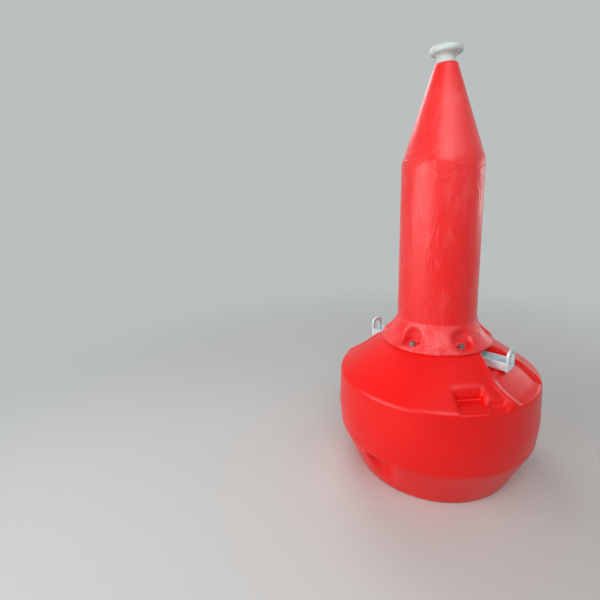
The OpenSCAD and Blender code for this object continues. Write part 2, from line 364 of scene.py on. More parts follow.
def skin(rings, closed=False, capped=False):
    """Vertices and faces over rings of points, shape (rings, columns, 3).

    Quads join each ring to the next. Over a turned profile they face right of the way that it
    runs. closed joins the last ring to the first, and capped closes both ends with a fan to
    the ring's middle.
    """
    rows, columns, _ = rings.shape
    index = np.arange(rows * columns).reshape(rows, columns)
    here = index if closed else index[:-1]
    there = np.roll(index, -1, axis=0) if closed else index[1:]
    quads = np.stack([here, np.roll(here, -1, 1), np.roll(there, -1, 1), there], axis=-1)
    verts, faces = [rings.reshape(-1, 3)], quads.reshape(-1, 4).tolist()
    if capped:
        verts.append(rings[[0, -1]].mean(axis=1))
        for ring, way, middle in ((0, -1, rows * columns), (-1, 1, rows * columns + 1)):
            pair = (index[ring], np.roll(index[ring], -1))[::way]
            faces += np.stack([*pair, np.full(columns, middle)], axis=-1).tolist()
    return np.concatenate(verts), faces


def joined(parts):
    """One pair of vertices and faces from several."""
    verts, faces, start = [], [], 0
    for points, sides in parts:
        verts.append(points)
        faces += [[start + i for i in side] for side in sides]
        start += len(points)
    return np.concatenate(verts), faces


def placed(part, turn=0.0, move=(0, 0, 0)):
    """A copy of a part that is moved, and then turned about the buoy's axis."""
    points = part[0] + np.array(move, float)
    c, s = math.cos(turn), math.sin(turn)
    return points @ np.array([[c, s, 0], [-s, c, 0], [0, 0, 1]]), part[1]


def from_nearest(p, count, radius, first=0.0):
    """Points seen from the nearest of count spots on a circle, the first at an angle: out, across."""
    step = TURN / count
    swing = (np.arctan2(p[:, 1], p[:, 0]) - first + step / 2) % step - step / 2
    r = np.hypot(p[:, 0], p[:, 1])
    return r * np.cos(swing) - radius, r * np.sin(swing)


def beyond(x, y, start, end):
    """Signed distance of (x, y) to the line from start to end, positive on its left."""
    run, rise = end[0] - start[0], end[1] - start[1]
    return ((y - start[1]) * run - (x - start[0]) * rise) / math.hypot(run, rise)


SHARP_ANGLE = math.radians(40)


def piece(name, part, finish, replaces=()):
    """A mesh object from vertices in millimetres, riding on the buoy's one body."""
    mesh = bpy.data.meshes.new(name)
    mesh.from_pydata((part[0] * MM).tolist(), [], part[1])
    mesh.validate()
    mesh.shade_smooth()
    mesh.set_sharp_from_angle(angle=SHARP_ANGLE)
    made = bpy.data.objects.new(name, mesh)
    bpy.context.scene.collection.objects.link(made)
    mesh.materials.append(finish)
    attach(made, "root")
    if replaces:
        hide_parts(*replaces)


# Materials


def linear(code):
    """Linear colour of an sRGB hex value such as 'c0392b'."""
    parts = [int(code[i:i + 2], 16) / 255 for i in (0, 2, 4)]
    return (*(p / 12.92 if p <= 0.04045 else ((p + 0.055) / 1.055) ** 2.4 for p in parts), 1)


def every(size_mm):
    """Scale of a pattern whose lumps or cells are about size_mm across."""
    return 1 / (size_mm * MM)


class Nodes:
    """The nodes of a material or of the world."""

    def __init__(self, owner):
        owner.use_nodes = True
        self.owner = owner
        self.tree = owner.node_tree

    def set(self, node, takes):
        """Gives inputs of a node, by name or number, a value or the output that feeds them."""
        for key, value in takes.items():
            if isinstance(value, bpy.types.NodeSocket):
                self.tree.links.new(value, node.inputs[key])
            else:
                node.inputs[key].default_value = value

    def add(self, kind, gives, takes, **settings):
        """One node with its settings and links. Returns the output that it gives.

        takes holds its inputs by name or number, or as a list from the first one on.
        """
        node = self.tree.nodes.new("ShaderNode" + kind)
        for key, value in settings.items():
            setattr(node, key, value)
        self.set(node, takes if isinstance(takes, dict) else dict(enumerate(takes)))
        return node.outputs[gives]

    def surface(self, takes):
        """Sets the shader's inputs and returns the material."""
        self.set(self.tree.nodes["Principled BSDF"], takes)
        return self.owner


def start_finish(name):
    """Nodes of a new material, and the Object coordinates that its patterns read."""
    f = Nodes(bpy.data.materials.new(name))
    return f, f.add("TexCoord", "Object", {})


def fold_lines(f, place, size_mm, width, distortion):
    """Thin folds, 1 on their crest: the lines on which a noise passes its middle value."""
    noise = {"Vector": place, "Scale": every(size_mm), "Detail": 2, "Distortion": distortion}
    lumps = f.add("TexNoise", "Fac", noise)
    off = f.add("Math", 0, [lumps, 0.5], operation="SUBTRACT")
    away = f.add("Math", 0, [off], operation="ABSOLUTE")
    return f.add("MapRange", 0, [away, 0, width, 1, 0])


def seen_rays(f):
    """1 for rays from the camera, also those mirrored or passed on, and 0 for other light."""
    seen = f.add("LightPath", "Is Camera Ray", {})
    rays = seen.node.outputs
    mirrored = f.add("Math", 0, [seen, rays["Is Glossy Ray"]], operation="MAXIMUM")
    return f.add("Math", 0, [mirrored, rays["Is Transmission Ray"]], operation="MAXIMUM")


def float_polyethylene():
    """Rotomoulded red polyethylene: half-gloss, a faint orange peel and soft moulding waves.

    The eye gets a red that drifts a little over 26 cm, paler handling scuffs, and reflections
    that waver over 15 cm with a fine grain of 6 mm, which is drawn coarser than it is.
    """
    f, place = start_finish("rotomoulded_polyethylene_red")
    drift = f.add("TexNoise", "Fac", {"Vector": place, "Scale": every(260), "Detail": 2})
    share = f.add("MapRange", 0, [drift, 0.35, 0.65, 0, 1])
    reds = {0: share, 6: linear("ee0806"), 7: linear("f50e0b")}
    tone = f.add("Mix", 2, reds, data_type="RGBA")
    marks = f.add("TexNoise", "Fac", {"Vector": place, "Scale": every(45), "Detail": 6})
    scuffed = f.add("MapRange", 0, [marks, 0.58, 0.75, 0, 0.12])
    colour = f.add("Mix", 2, {0: scuffed, 6: tone, 7: linear("f23a34")}, data_type="RGBA")
    swell = f.add("TexNoise", "Fac", {"Vector": place, "Scale": every(150), "Detail": 1})
    waves = f.add("Bump", 0, {"Height": swell, "Distance": 1.6 * MM, "Strength": 1})
    grain = f.add("TexNoise", "Fac", {"Vector": place, "Scale": every(6), "Detail": 2})
    peel = {"Height": grain, "Distance": 0.03 * MM, "Strength": 1, "Normal": waves}
    wear = f.add("TexNoise", "Fac", {"Vector": place, "Scale": every(90), "Detail": 3})
    rough = f.add("MapRange", 0, [wear, 0.3, 0.7, 0.29, 0.38])
    return f.surface({"Base Color": colour, "Roughness": rough, "IOR": 1.41,
                      "Normal": f.add("Bump", 0, peel)})


# Heights between which the wrap changes, in metres, as the patterns read them
WRAP_LOOSE = (DRUM_TOP_Z * MM, (DRUM_TOP_Z + 40) * MM)
WRAP_TIGHT = (1600 * MM, 1690 * MM)
WRAP_FLARE = ((FLARE_Z - 6) * MM, (FLARE_Z + 3) * MM)
WRAP_BEND_LOW = (1270 * MM, 1340 * MM)
WRAP_BEND_HIGH = (1400 * MM, 1460 * MM)


def tower_polyethylene():
    """The same plastic under a thin clear wrap.

    The wrap is milky in soft patches, tight at the tip, and wrinkled: long folds run up the drum,
    and shorter ones lie round the shoulder and the flare. Over the whole flare a paler pink is
    painted in, partly the wrap's milkiness and partly a painted reflection of bright windows.
    """
    f, place = start_finish("rotomoulded_polyethylene_red_wrapped")
    plus = {"operation": "ADD", "use_clamp": True}
    times = {"operation": "MULTIPLY", "use_clamp": True}
    height = f.add("SeparateXYZ", "Z", [place])
    upward = f.add("Mapping", 0, {"Vector": place, "Scale": (1, 1, 0.3)})
    around = f.add("Mapping", 0, {"Vector": place, "Scale": (0.45, 0.45, 1)})
    haze = f.add("TexNoise", "Fac", {"Vector": upward, "Scale": every(170), "Detail": 2})
    cloud = f.add("MapRange", 0, [haze, 0.35, 0.65, 0, 0.35])
    blots = {"Vector": upward, "Scale": every(48), "Detail": 4, "Distortion": 1}
    patches = f.add("MapRange", 0, [f.add("TexNoise", "Fac", blots), 0.54, 0.7, 0, 0.4])
    loose = f.add("MapRange", 0, [height, *WRAP_LOOSE, 0, 0.15])
    veil = f.add("Math", 0, [f.add("Math", 0, [cloud, patches], **plus), loose], **plus)
    tight = f.add("MapRange", 0, [height, *WRAP_TIGHT, 1, 0.2])
    bloom = f.add("Math", 0, [veil, tight], **times)
    # Over the flare a paler pink is mixed in: partly the wrap's milkiness, partly a painted
    # reflection of bright windows at a grazing angle
    flare = f.add("MapRange", 0, [height, *WRAP_FLARE, 1, 0])
    wrap_and_reflection_noise = f.add("TexNoise", "Fac", {"Vector": place, "Scale": every(70), "Detail": 2})
    wrap_haze_and_painted_reflection = f.add("MapRange", 0, [wrap_and_reflection_noise, 0.4, 0.6, 0.1, 0.6])
    milky_wrap_and_painted_reflection = f.add("Math", 0, [bloom, f.add("Math", 0, [flare, wrap_haze_and_painted_reflection], **times)], **plus)
    reds = {0: milky_wrap_and_painted_reflection, 6: linear("f01311"), 7: linear("f94c4f")}
    colour = f.add("Mix", 2, reds, data_type="RGBA")
    spread = f.add("TexNoise", "Fac", {"Vector": place, "Scale": every(150), "Detail": 1})
    somewhere = f.add("MapRange", 0, [spread, 0.44, 0.56, 0, 1])
    long_folds = f.add("Math", 0, [fold_lines(f, upward, 60, 0.08, 0.8), somewhere], **times)
    above = f.add("MapRange", 0, [height, *WRAP_BEND_LOW, 0, 1])
    below = f.add("MapRange", 0, [height, *WRAP_BEND_HIGH, 1, 0])
    shoulder = f.add("Math", 0, [above, below], **times)
    where = f.add("Math", 0, [shoulder, f.add("Math", 0, [flare, 0.45], **times)], **plus)
    short_folds = f.add("Math", 0, [fold_lines(f, around, 85, 0.09, 1.1), where], **times)
    folds = f.add("Math", 0, [long_folds, short_folds], **plus)
    swell = f.add("TexNoise", "Fac", {"Vector": place, "Scale": every(120), "Detail": 1})
    waves = f.add("Bump", 0, {"Height": swell, "Distance": 1.2 * MM, "Strength": 1})
    raised = {"Height": folds, "Distance": 1.1 * MM, "Strength": 1, "Normal": waves}
    creased = f.add("Bump", 0, raised)
    wear = f.add("TexNoise", "Fac", {"Vector": place, "Scale": every(90), "Detail": 3})
    rough = f.add("MapRange", 0, [wear, 0.3, 0.7, 0.4, 0.52])
    return f.surface({"Base Color": colour, "Roughness": rough, "IOR": 1.41, "Normal": creased,
                      "Coat Weight": 0.45, "Coat Roughness": 0.3, "Coat IOR": 1.45,
                      "Coat Normal": creased, "Sheen Weight": 0.12, "Sheen Roughness": 0.35})


def galvanised_steel():
    """Hot-dip galvanised steel: pale zinc with a crystal spangle of 9 mm and dull patches."""
    f, place = start_finish("hot_dip_galvanised_steel")
    cells = f.add("TexVoronoi", "Color", {"Vector": place, "Scale": every(9)})
    tone = f.add("SeparateColor", 0, [cells])
    spangle = {0: tone, 6: linear("cfe6ec"), 7: linear("e6f6fa")}
    bright = f.add("Mix", 2, spangle, data_type="RGBA")
    stain = f.add("TexNoise", "Fac", {"Vector": place, "Scale": every(35), "Detail": 4})
    dulled = f.add("MapRange", 0, [stain, 0.45, 0.7, 0, 0.5])
    colour = f.add("Mix", 2, {0: dulled, 6: bright, 7: linear("b9ccd1")}, data_type="RGBA")
    rough = f.add("MapRange", 0, [tone, 0, 1, 0.4, 0.54])
    drip = f.add("TexNoise", "Fac", {"Vector": place, "Scale": every(14), "Detail": 3})
    runs = f.add("Bump", 0, {"Height": drip, "Distance": 0.05 * MM, "Strength": 1})
    return f.surface({"Base Color": colour, "Metallic": 0.3, "Roughness": rough, "Normal": runs})


def shaded_bolt_steel():
    """Zinc-plated bolt heads, painted darker than the zinc round them for the shade in their pockets.
    """
    f, place = start_finish("zinc_plated_bolt_steel_painted_shade")
    stain = f.add("TexNoise", "Fac", {"Vector": place, "Scale": every(8), "Detail": 3})
    # Painted shade: the greys are darker than the zinc to stand in for the shade on the heads in
    # their pockets
    shaded_greys = {0: stain, 6: linear("777c7e"), 7: linear("a8adaf")}
    colour = f.add("Mix", 2, shaded_greys, data_type="RGBA")
    return f.surface({"Base Color": colour, "Metallic": 0.8, "Roughness": 0.42})


def lamp_nylon():
    """Injection-moulded white nylon: satin, slightly cool, with fine handling marks."""
    f, place = start_finish("moulded_nylon_white")
    marks = f.add("TexNoise", "Fac", {"Vector": place, "Scale": every(30), "Detail": 5})
    handled = f.add("MapRange", 0, [marks, 0.45, 0.75, 0, 0.5])
    whites = {0: handled, 6: linear("cdd7d4"), 7: linear("b9c4c3")}
    colour = f.add("Mix", 2, whites, data_type="RGBA")
    grain = f.add("TexNoise", "Fac", {"Vector": place, "Scale": every(3), "Detail": 2})
    peel = f.add("Bump", 0, {"Height": grain, "Distance": 0.02 * MM, "Strength": 1})
    return f.surface({"Base Color": colour, "Roughness": 0.42, "IOR": 1.53, "Normal": peel})


def bitumen_iron():
    """Cast iron under bitumen paint: black, sandy from the mould, in uneven coats."""
    f, place = start_finish("bitumen_painted_cast_iron")
    coats = f.add("TexNoise", "Fac", {"Vector": place, "Scale": every(40), "Detail": 5})
    blacks = {0: coats, 6: linear("1b1c1d"), 7: linear("2c2d2e")}
    colour = f.add("Mix", 2, blacks, data_type="RGBA")
    grit = f.add("TexNoise", "Fac", {"Vector": place, "Scale": every(2.5), "Detail": 3})
    sand = f.add("Bump", 0, {"Height": grit, "Distance": 0.25 * MM, "Strength": 1})
    return f.surface({"Base Color": colour, "Roughness": 0.48, "Normal": sand})


# Float


def lane_sides(x, y):
    """Signed distance to a lane's outline seen from above, negative inside it."""
    opening = beyond(x, y, LANE_IN, LANE_OPEN)
    sides = smooth_max(opening, y - LANE_OPEN[1], LANE_OPEN_CREASE)
    return smooth_max(sides, beyond(x, y, LANE_CLOSE, LANE_OUT), LANE_CLOSE_CREASE)


def lane_field(p):
    """Signed distance to the lane and groove round the crossbar, negative inside them.

    From above a lane widens from the seat to LANE_OPEN, runs straight to LANE_CLOSE and narrows
    to LANE_OUT. Its floor is level to LANE_FLAT, falls to LANE_LOW and eases off to LANE_END.
    Beyond LANE_FLAT the walls lean by LANE_DRAFT, by drawing in with the depth below the cone.
    The groove for the channel runs across the seat between upright walls.
    """
    x, y, z = np.abs(p[:, 0]), np.abs(p[:, 1]), p[:, 2]
    r = np.hypot(x, y)
    level = BAR_Z - z
    falling = -beyond(x, z, (LANE_FLAT, BAR_Z), LANE_LOW)
    easing = -beyond(x, z, LANE_LOW, LANE_END)
    floor = smooth_max(smooth_min(level, falling, LANE_FLAT_CREASE), easing, LANE_LOW_CREASE)
    depth = np.clip(beyond(r, z, *CONE), 0, LANE_DEEPEST)
    lean = depth * math.sin(LANE_DRAFT) * rising(r, LANE_FLAT, LANE_DRAFT_RUN)
    wall = lane_sides(x, y) * math.cos(LANE_DRAFT) + lean
    trough = smooth_max(floor, wall, LANE_FLOOR_CREASE)
    lane = smooth_max(trough, SEAT_R - r, LANE_MOUTH_CREASE)
    groove = np.maximum(np.maximum(level, y - GROOVE_HALF), x - LANE_FLAT)
    return np.minimum(lane, groove)


def pocket_field(p):
    """Signed distance to the two hand pockets, negative inside them.

    Seen along POCKET_ANGLE a pocket lies beyond an upright wall, between two sides, over a
    floor that falls to the float's side. A shallower step joins it towards the lifting eye.
    The second pocket is the first turned half a turn about the axis.
    """
    z = p[:, 2]
    c, s = math.cos(POCKET_ANGLE), math.sin(POCKET_ANGLE)
    along = p[:, 0] * c - p[:, 1] * s
    out = np.abs(along)
    across = np.sign(along) * (p[:, 0] * s + p[:, 1] * c)
    floor = -beyond(out, z, (POCKET_WALL, POCKET_FLOOR[0]), (SHOULDER_R, POCKET_FLOOR[1]))
    deep = smooth_max(POCKET_WALL - out, floor, POCKET_FLOOR_CREASE)
    deep = smooth_max(deep, np.abs(across) - POCKET_HALF, POCKET_SIDE_CREASE)
    floor = -beyond(out, z, (STEP_WALL, STEP_FLOOR[0]), (SHOULDER_R, STEP_FLOOR[1]))
    step = smooth_max(STEP_WALL - out, floor, STEP_CREASE)
    step = smooth_max(step, across - STEP_END, STEP_CREASE)
    step = smooth_max(step, POCKET_HALF + POCKET_RIDGE - across, STEP_CREASE)
    return smooth_min(deep, step, POCKET_RIDGE)


def notch_field(p):
    """Signed distance to the two base notches: a back wall, a ceiling and two flared sides."""
    across, out, z = np.abs(p[:, 0]), np.abs(p[:, 1]), p[:, 2]
    half = NOTCH_HALF + (out - NOTCH_WALL) * math.tan(NOTCH_FLARE)
    flank = (across - half) * math.cos(NOTCH_FLARE)
    top = smooth_max(NOTCH_WALL - out, z - NOTCH_TOP_Z, NOTCH_TOP_CREASE)
    return smooth_max(top, flank, NOTCH_SIDE_CREASE)


def float_recesses(p):
    """Signed distance to everything that is cut from the turned float."""
    return np.minimum(np.minimum(lane_field(p), pocket_field(p)), notch_field(p))


def edge_angles(r, z):
    """Angles in the first quarter at which a station of the float crosses the recesses' edges.

    Above the side band they are the edges of the groove, the lane and the hand pocket, below it
    those of the base notches. In the side band one set turns into the other. Spare columns,
    which follow no edge, stand at fixed parts of the quarter.
    """
    quarter = np.full_like(r, math.pi / 2)
    spare_high, spare_low = 0.86, (0.1, 0.2, 0.28, 0.4, 0.6)
    corners = np.array([LANE_IN, LANE_OPEN, LANE_CLOSE, LANE_OUT], float)
    edge = read_off(np.linspace(0, 3, 301), np.arange(4), corners).T
    lane = np.interp(r, np.hypot(*edge), np.arctan2(edge[1], edge[0]))
    groove = np.arcsin(GROOVE_HALF / np.clip(r, SEAT_R, LANE_FLAT))
    step = POCKET_ANGLE - np.arcsin(STEP_END / np.clip(r, STEP_EDGE_R, None))
    reach = np.arcsin(POCKET_HALF / np.clip(r, POCKET_WALL, None))
    upper = np.stack([0 * r, groove, lane, step, POCKET_ANGLE - reach, POCKET_ANGLE + reach,
                      spare_high * quarter, quarter], axis=1)
    out = np.linspace(NOTCH_WALL, WIDEST_R, 101)
    half = NOTCH_HALF + (out - NOTCH_WALL) * math.tan(NOTCH_FLARE)
    flank = np.interp(r, np.hypot(out, half), np.arctan2(half, out))
    spares = [part * quarter for part in spare_low]
    lower = np.stack([0 * r, *spares, quarter - flank, quarter], axis=1)
    share = rising(z, KNUCKLE_Z, SHOULDER_Z - 40 - KNUCKLE_Z)[:, None]
    return lower + (upper - lower) * share * share * (3 - 2 * share)


def lane_lip(rings):
    """Height of the soft lip that runs along a lane's sides: a bell curve across its crest."""
    x, y, z = np.abs(rings[..., 0]), np.abs(rings[..., 1]), rings[..., 2]
    r = np.hypot(x, y)
    along = rising(r, LIP_START_R, LIP_START_RUN) * rising(r, SHOULDER_R, -LIP_END_RUN)
    crest = np.exp(-((lane_sides(x, y) - LIP_AT) / LIP_W) ** 2)
    return LIP_H * along * (z > PARTING_Z) * crest


def float_edge(profile):
    """Softness of a recess's edge at each station: wide on the cone, less at seat, rim and base."""
    r, z = profile[:, :1], profile[:, 1:]
    cone = rising(r, WIDE_FROM_R, WIDE_RUN_R) * rising(z, WIDE_FROM_Z, WIDE_RUN_Z)
    return EDGE_SMALL + (EDGE_WIDE - EDGE_SMALL) * cone


def float_angles(profile):
    """A row of angles for each station, close together on both sides of every recess's edge.

    How many columns lie between two edges follows from their distance at a sample station,
    which crosses the lane and the hand pocket.
    """
    edges = edge_angles(profile[:, 0], profile[:, 1])
    sample_r, sample_z = 410.0, 500.0
    usual = edge_angles(np.array([sample_r]), np.array([sample_z]))[0] * sample_r
    near = np.array([0.8, 2.2, 4.2, 7.0])
    apart = 6.5
    rows = []
    for i, span in enumerate(np.diff(usual)):
        count = max(2, int(round((span - 2 * near[-1]) / apart)) + 1)
        fill = np.linspace(near[-1], span - near[-1], count)
        spots = np.concatenate([[0], near[:-1], fill, (span - near[:-1])[::-1]]) / span
        rows.append(edges[:, i:i + 1] + (edges[:, i + 1:i + 2] - edges[:, i:i + 1]) * spots)
    quarter = np.concatenate(rows + [edges[:, -1:]], axis=1)
    ahead, back = quarter[:, :-1], quarter[:, :0:-1]
    return np.concatenate([ahead, math.pi - back, math.pi + ahead, TURN - back], axis=1)


def float_body():
    """Turned float with its recesses: recess, flat bottom, chamfer, side, rim, cone, seat."""
    line = rounded([
        (BORE_R, RECESS_TOP_Z, 0), (RECESS_R, RECESS_TOP_Z, RECESS_TOP_BEND),
        (RECESS_R, 0, RECESS_BEND), (BASE_R, 0, BASE_BEND), (KNUCKLE_R, KNUCKLE_Z, KNUCKLE_BEND),
        (WIDEST_R, PARTING_Z, SIDE_BEND), (SHOULDER_R, SHOULDER_Z, SHOULDER_BEND),
        (SEAT_R + SEAT_STEP, SEAT_Z - SEAT_STEP, SEAT_FOOT_BEND), (SEAT_R, SEAT_Z, SEAT_BEND),
        (BORE_R, SEAT_Z, 0)], 10)
    # Plain stretches between the bends, in order: bottom and chamfer, flat bottom, side band,
    # recess top and bore, seat, recess wall. A later one takes the place of an earlier one.
    spacing = row_gap(
        3.4,
        ((0, WIDEST_R), (-1, KNUCKLE_Z + 20), 6.4),
        ((RECESS_R + 12, BASE_R - 20), (-1, 1), 26),
        ((0, math.inf), (KNUCKLE_Z + 20, SHOULDER_Z - 45), 22),
        ((0, RECESS_R - 12), (0, SEAT_Z - 60), 30),
        ((0, SEAT_R - 10), (SEAT_Z - 1, math.inf), 14),
        ((0, RECESS_R + 2), (14, RECESS_TOP_Z - 14), 24))
    profile, side = stations(line, spacing)
    angles = float_angles(profile)
    base, out = turned(profile, angles), turned(side, angles)
    base += lane_lip(base)[..., None] * out
    rings = carve(base, out, float_recesses, float_edge(profile))
    return skin(rings, closed=True)


# Tower


BOLT_TURNS = (np.arange(BOLT_COUNT) + 0.5) * TURN / BOLT_COUNT


def bolt_pocket_field(p):
    """Signed distance to the six bolt pockets: upright round wells that end in a dome."""
    out, across = from_nearest(p, BOLT_COUNT, BOLT_CIRCLE_R, BOLT_TURNS[0])
    over = np.maximum(p[:, 2] - BOLT_POCKET_WALL_Z, 0)
    well = np.sqrt(out ** 2 + across ** 2 + over ** 2) - BOLT_POCKET_R
    return smooth_max(well, BOLT_FLOOR_Z - p[:, 2], BOLT_FLOOR_CREASE)


def tower_angles(profile):
    """A row of angles for each station, close together on both sides of a bolt pocket's wall.

    A pocket's walls stand BOLT_POCKET_R to each side of its bolt, so the angle at which a
    station meets them is the arcsine of that over the station's radius.
    """
    wall = np.arcsin(BOLT_POCKET_R / np.clip(profile[:, :1], BOLT_CIRCLE_R - 10, None))
    half = math.pi / BOLT_COUNT
    between = half * BOLT_CIRCLE_R - BOLT_POCKET_R
    near = np.array([0.6, 1.6, 3.0, 5.0])
    inner = np.linspace(0, BOLT_POCKET_R - near[-1], 12)
    inner = np.concatenate([inner, BOLT_POCKET_R - near[-2::-1], [BOLT_POCKET_R]])
    outer = np.concatenate([near[:-1], np.linspace(near[-1], between, 22)])
    within = wall * inner / BOLT_POCKET_R
    beside = wall + (half - wall) * outer / between
    right = np.concatenate([within, beside], axis=1)
    sector = np.concatenate([-right[:, :0:-1], right[:, :-1]], axis=1)
    return np.concatenate([sector + turn for turn in BOLT_TURNS], axis=1)


def flare_outline(steps=30):
    """Arc (r, z) of the flare, hollow outwards, from the flange's rim to the drum's foot.

    Its ends are FLARE_BEND apart on a circle, whose radius follows from their distance.
    """
    run, rise = RIM_R - FOOT_R, FLARE_Z - FLANGE_Z
    chord = math.hypot(run, rise)
    bend_r = chord / (2 * math.sin(FLARE_BEND / 2))
    back = bend_r * math.cos(FLARE_BEND / 2) / chord
    middle = math.pi + math.atan2(run, rise)
    turn = np.linspace(middle + FLARE_BEND / 2, middle - FLARE_BEND / 2, steps)
    r = (RIM_R + FOOT_R) / 2 + back * rise + bend_r * np.cos(turn)
    z = (FLANGE_Z + FLARE_Z) / 2 + back * run + bend_r * np.sin(turn)
    return np.stack([r, z], axis=1)


def tower_body():
    """Turned tower: flange, bell-shaped flare, drum, cone and blunt tip, with the bolt pockets.

    The first and last few points of the flare's arc give way to the bends at its ends. Its
    rings are eased, because the soft edges of the pockets cross them at a slant.
    """
    flare = flare_outline()
    few = 6
    low = rounded([(BORE_R, SEAT_Z, 0), (RIM_R, SEAT_Z, FLANGE_FOOT_BEND),
                   (RIM_R, FLANGE_Z, FLANGE_TOP_BEND), (*flare[few], 0)])
    high = rounded([(*flare[-few], 0), (*flare[-1], FOOT_BEND),
                    (DRUM_TOP_R, DRUM_TOP_Z, DRUM_TOP_BEND), (TIP_R, TIP_Z - TIP_EDGE_H, 0),
                    (TIP_R - TIP_EDGE_W, TIP_Z, TIP_BEND), (NECK_R - 8, TIP_Z, 0)])
    line = np.concatenate([low[:-1], flare[few:-few], high])
    # Plain stretches: the flange's underside, then the drum and the cone.
    spacing = row_gap(
        2.6,
        ((0, math.inf), (0, SEAT_Z + 0.5), 30),
        ((0, math.inf), (FLARE_Z + 20, TIP_Z - 20), 24))
    profile, side = stations(line, spacing)
    angles = tower_angles(profile)
    base, out = turned(profile, angles), turned(side, angles)
    rings = carve(base, out, bolt_pocket_field, BOLT_POCKET_EDGE)
    z = profile[:, 1]
    on_flare = rising(z, BOLT_FLOOR_Z - 2, 3) * rising(z, FLARE_Z - 3, -6)
    return skin(eased(rings, on_flare), capped=True)


def hex_bolt():
    """Washer and hexagon head with chamfered corners, standing on z = 0.

    The head's radius is the hexagon's, its half width across flats over the cosine of the angle
    from the middle of a flat, but no more than a level's cap.
    """
    angles = full_turn(96)
    flats = 0.75 * BOLT_D
    side = TURN / 6
    hexagon = flats / np.cos((angles + side / 2) % side - side / 2)
    washer_t, head_h = 0.2 * BOLT_D, 0.64 * BOLT_D
    washer_r, bore_r = 0.95 * BOLT_D, 0.5 * BOLT_D
    washer_bend = 0.8
    washer = rounded([(bore_r, 0, 0), (washer_r, 0, washer_bend),
                      (washer_r, washer_t, washer_bend), (bore_r, washer_t, 0)], 4)
    # Height over the washer and cap of each ring: the sides, then the chamfer, then the flat top
    levels = [(0, math.inf), (head_h - 2.2, math.inf), (head_h - 1.4, flats * 1.12),
              (head_h - 0.4, flats * 1.02), (head_h, flats * 0.94), (head_h, flats * 0.5)]
    rings = []
    for z, cap in levels:
        r = np.minimum(hexagon, cap)
        level = np.full_like(angles, washer_t + z)
        rings.append(np.stack([r * np.cos(angles), r * np.sin(angles), level], axis=1))
    head = skin(np.array(rings), capped=True)
    return joined([skin(turned(washer, angles), closed=True), head])


def tower_bolt_set():
    """A washer and head for each bolt of the flange."""
    seat = (BOLT_CIRCLE_R, 0, BOLT_FLOOR_Z)
    return joined([placed(hex_bolt(), turn, seat) for turn in BOLT_TURNS])


# Crossbar and lifting eyes


def channel():
    """Rolled channel: its section (y, z) with rounded bends carried along X, flat at both ends."""
    half, top = bar_high[1], bar_high[2]
    inner, web = half - BAR_T, BAR_Z + BAR_T
    section = rounded([(0, BAR_Z, 0), (half, BAR_Z, BAR_BEND), (half, top, BAR_LIP_BEND),
                       (inner, top, BAR_LIP_BEND), (inner, web, BAR_INNER_BEND), (0, web, 0)], 6)
    other = section[::-1][1:-1] * np.array([-1, 1])
    loop = np.concatenate([section, other])
    stops = np.linspace(-BAR_HALF_LEN, BAR_HALF_LEN, 41)
    along = np.broadcast_to(stops[:, None], (len(stops), len(loop)))
    verts, faces = skin(np.stack([along, loop[:, 0] + 0 * along, loop[:, 1] + 0 * along], axis=-1))
    start = np.arange(len(loop))
    ends = [start[::-1].tolist(), (start + len(verts) - len(loop)).tolist()]
    return verts, faces + ends


def door_outline(half, low, high, foot_bend, top_bend, steps):
    """Outline (y, z) of a door shape, from the middle of its foot, counter-clockwise."""
    return rounded([(0, low, 0), (half, low, foot_bend), (half, high, top_bend),
                    (-half, high, top_bend), (-half, low, foot_bend), (0, low, 0)], steps)


def plate_loops(count=160):
    """Outline of an end plate and of its arched eye (y, z), point for point at like angles."""
    height = eye_high[2] - eye_low[2]
    outer = door_outline(bar_high[1], 0, height, PLATE_FOOT_BEND, PLATE_CORNER_BEND, 10)
    just_under_half = EYE_HALF - 0.01
    inner = door_outline(EYE_HALF, EYE_LIFT, EYE_LIFT + EYE_H, EYE_FOOT_BEND, just_under_half, 14)
    middle = np.array([0, EYE_LIFT + EYE_H / 2])
    angles = full_turn(count) - math.pi / 2

    def at_angles(loop):
        spots = loop - middle
        turn = np.unwrap(np.arctan2(spots[:, 1], spots[:, 0]))
        return read_off(angles, turn, spots) + middle
    return at_angles(outer), at_angles(inner)


def loop_normals(loop):
    """Unit normals of a closed loop run counter-clockwise, pointing out of it."""
    along = np.roll(loop, -1, axis=0) - np.roll(loop, 1, axis=0)
    out = np.stack([along[:, 1], -along[:, 0]], axis=1)
    return out / np.linalg.norm(out, axis=1)[:, None]


def end_plate():
    """Plate with its eye and eased edges, its inner face on x = 0, its foot on z = 0.

    Each edge is a quarter turn of three points, from a face out to the plate's outline, or in
    to the eye's.
    """
    outer, inner = plate_loops()
    out, into = loop_normals(outer), loop_normals(inner)
    ease = PLATE_EASE
    mid = 0.3 * ease
    steps = [(ease, 0), (mid, mid), (0, ease), (0, PLATE_T - ease), (mid, PLATE_T - mid),
             (ease, PLATE_T)]
    rings = [np.column_stack([np.full(len(outer), x), outer - out * off]) for off, x in steps]
    rings += [np.column_stack([np.full(len(inner), PLATE_T - x), inner + into * off])
              for off, x in steps]
    return skin(np.array(rings), closed=True)


